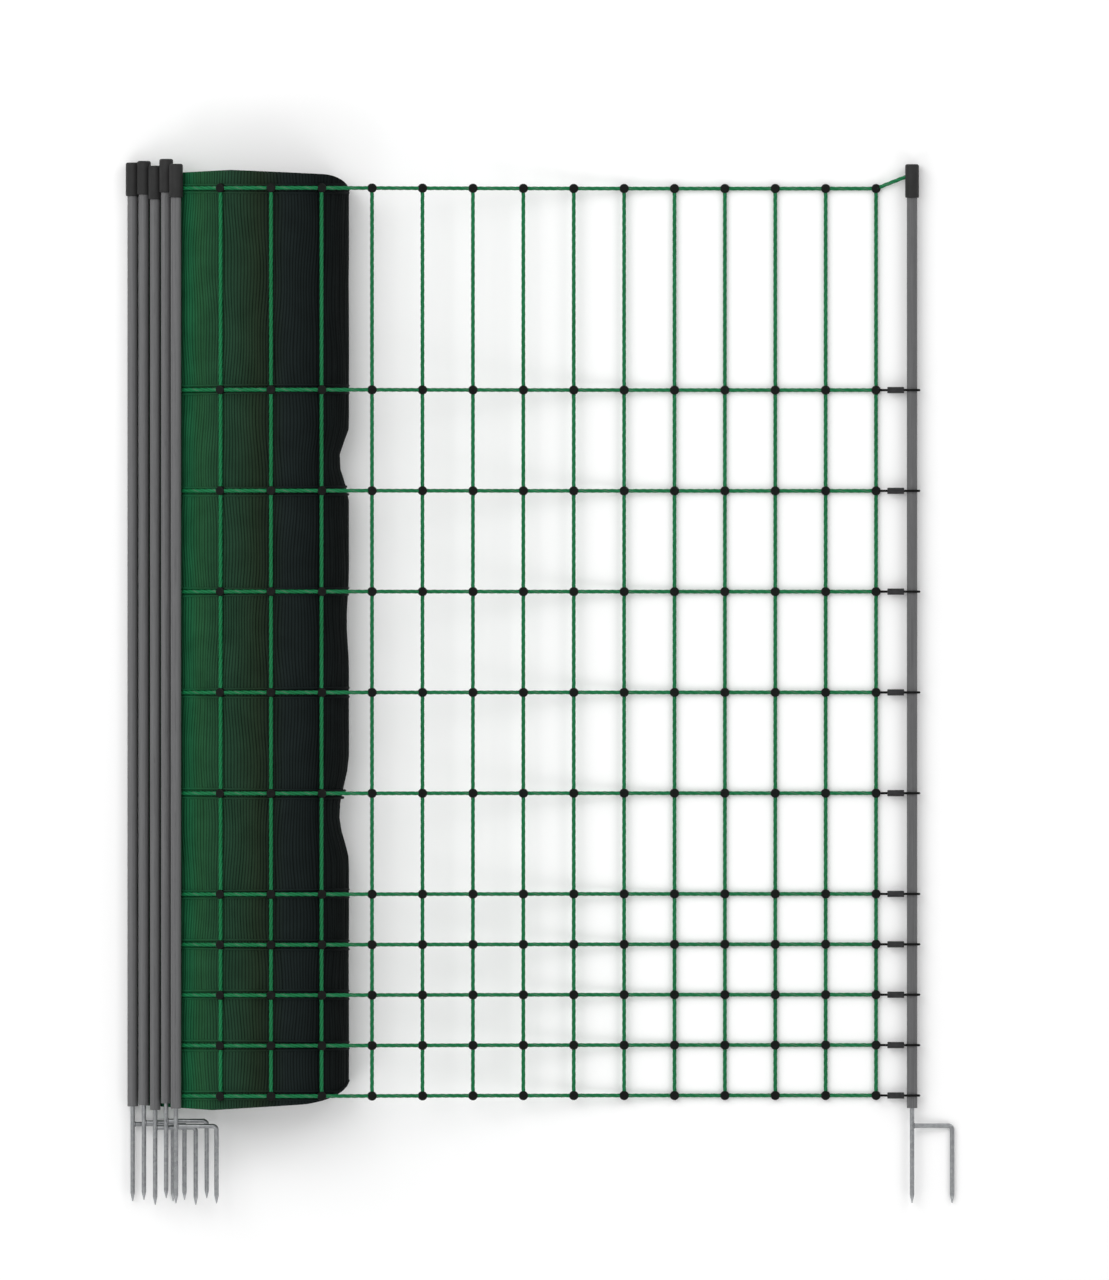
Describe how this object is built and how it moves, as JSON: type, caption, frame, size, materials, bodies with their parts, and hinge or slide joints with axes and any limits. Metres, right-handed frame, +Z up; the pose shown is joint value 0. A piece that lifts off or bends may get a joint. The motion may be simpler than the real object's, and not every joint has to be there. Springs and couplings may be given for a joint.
{
  "type": "electric poultry netting",
  "caption": "Electric poultry netting lying flat: a slumped roll, a panel of knotted strands, bundled posts with double spikes, and an end post held by crimped ties.",
  "frame": {"origin": "middle of the footprint, on the floor", "axes": "+X along the unrolled net from the roll to the end post, +Y from the spikes to the post caps, +Z up from the floor on which the netting lies"},
  "size_m": [0.9868, 1.245, 0.0944],
  "materials": {
    "net_strand": "twisted green polyethylene strand with fine steel wires, black moulded knots",
    "net_roll": "wound turns of green netting, darkening to near black",
    "post_shaft": "grey extruded plastic, satin",
    "post_cap": "dark grey moulded plastic",
    "spike_steel": "galvanised steel rod, welded",
    "tie_cord": "black braided cord",
    "ferrule": "dark moulded sleeve, crimped"
  },
  "bodies": {
    "root": {"net_panel": "net_strand", "net_roll": "net_roll", "post_shaft_1": "post_shaft", "post_cap_1": "post_cap", "double_spike_1": "spike_steel", "post_shaft_2": "post_shaft", "post_cap_2": "post_cap", "double_spike_2": "spike_steel", "post_shaft_3": "post_shaft", "post_cap_3": "post_cap", "double_spike_3": "spike_steel", "post_shaft_4": "post_shaft", "post_cap_4": "post_cap", "double_spike_4": "spike_steel", "post_shaft_5": "post_shaft", "post_cap_5": "post_cap", "double_spike_5": "spike_steel", "post_shaft_6": "post_shaft", "post_cap_6": "post_cap", "double_spike_6": "spike_steel", "tie_cord_1": "tie_cord", "ferrule_1": "ferrule", "tie_cord_2": "tie_cord", "ferrule_2": "ferrule", "tie_cord_3": "tie_cord", "ferrule_3": "ferrule", "tie_cord_4": "tie_cord", "ferrule_4": "ferrule", "tie_cord_5": "tie_cord", "ferrule_5": "ferrule", "tie_cord_6": "tie_cord", "ferrule_6": "ferrule", "tie_cord_7": "tie_cord", "ferrule_7": "ferrule", "tie_cord_8": "tie_cord", "ferrule_8": "ferrule", "tie_cord_9": "tie_cord", "ferrule_9": "ferrule", "tie_cord_10": "tie_cord", "ferrule_10": "ferrule"}
  },
  "joints": []
}
